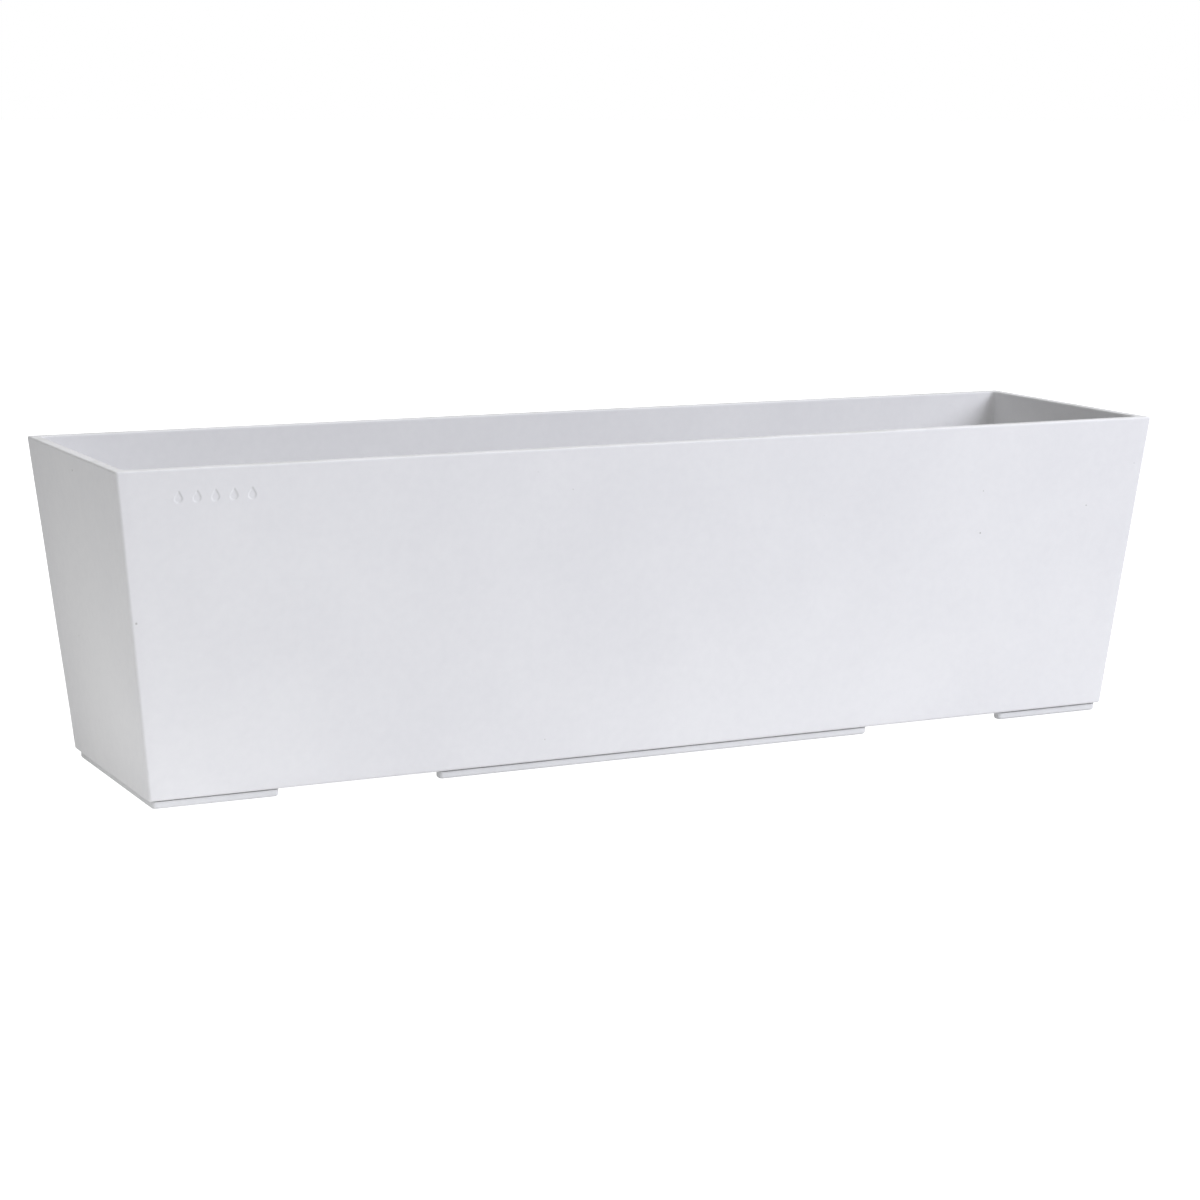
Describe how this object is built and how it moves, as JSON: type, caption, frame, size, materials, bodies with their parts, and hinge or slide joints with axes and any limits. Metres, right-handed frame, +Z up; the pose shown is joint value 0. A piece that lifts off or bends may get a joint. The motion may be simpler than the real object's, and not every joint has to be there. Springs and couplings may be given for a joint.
{
  "type": "self-watering planter",
  "caption": "Long tapered trough with a water reservoir under perforated platforms, wick cups, a capped fill tube, a float level gauge and an overflow drain.",
  "frame": {"origin": "centre of the footprint, on the ground the feet stand on", "axes": "+X along the trough towards the level gauge's end, +Y from its front to its back, +Z up"},
  "size_m": [0.7996, 0.2068, 0.226],
  "materials": {
    "shell": "matt fibre-filled resin with a faint mottle",
    "feet": "matt",
    "platform": "fine moulded grain",
    "legs": "fine moulded grain",
    "cups": "fine moulded grain",
    "tubes": "extruded, satin",
    "fittings": "satin moulded",
    "rubber": "matt",
    "steel": "stainless, drawn",
    "clear": "clear moulded",
    "foam": "closed-cell foam",
    "flag": "moulded"
  },
  "bodies": {
    "planter": {"planter_shell": "shell", "left_foot": "feet", "centre_front_foot": "feet", "centre_back_foot": "feet", "right_foot": "feet", "foot_screws": "steel", "drain_bush": "fittings", "drain_gasket": "rubber", "drain_backnut": "fittings", "overflow_pipe": "fittings"},
    "drain_ring": {"drain_plug_seal": "rubber"},
    "drain_plug": {"drain_plug": "fittings"},
    "left_platform": {"left_platform": "platform", "left_leg_1": "legs", "left_leg_2": "legs", "left_leg_3": "legs", "left_leg_4": "legs", "left_leg_5": "legs", "left_leg_6": "legs", "wick_cup_1": "cups", "wick_cup_2": "cups", "fill_tube": "tubes", "fill_cap_ring": "fittings", "fill_cap_pin": "steel"},
    "fill_cap": {"fill_cap": "fittings"},
    "right_platform": {"right_platform": "platform", "right_leg_1": "legs", "right_leg_2": "legs", "right_leg_3": "legs", "right_leg_4": "legs", "right_leg_5": "legs", "right_leg_6": "legs", "wick_cup_3": "cups", "wick_cup_4": "cups", "indicator_tube": "tubes", "indicator_end_stop": "fittings", "indicator_window": "clear", "indicator_cap": "fittings"},
    "float": {"float": "foam", "float_rod": "steel", "level_flag": "flag"}
  },
  "joints": [
    {"name": "left_platform_lift", "type": "slide", "parent": "planter", "child": "left_platform", "axis": [0, 0, 1], "range_m": [0, 0.22]},
    {"name": "right_platform_lift", "type": "slide", "parent": "planter", "child": "right_platform", "axis": [0, 0, 1], "range_m": [0, 0.22]},
    {"name": "fill_cap_hinge", "type": "hinge", "parent": "left_platform", "child": "fill_cap", "pos_m": [-0.34857, -0.07942, 0.2098], "axis": [1, 0, 0], "range_deg": [0, 105]},
    {"name": "float_rise", "type": "slide", "parent": "right_platform", "child": "float", "axis": [0, 0, 1], "range_m": [0, 0.026]},
    {"name": "drain_plug_travel", "type": "slide", "parent": "planter", "child": "drain_ring", "axis": [0, 0, -1], "range_m": [0, 0.009]},
    {"name": "drain_plug_turn", "type": "hinge", "parent": "drain_ring", "child": "drain_plug", "pos_m": [-0.22775, 0, 0.004], "axis": [0, 0, -1], "range_deg": [0, 1081]}
  ],
  "couplings": [
    {"joint": "drain_plug_turn", "follows": "drain_plug_travel", "rad_per_m": 2094.4}
  ]
}
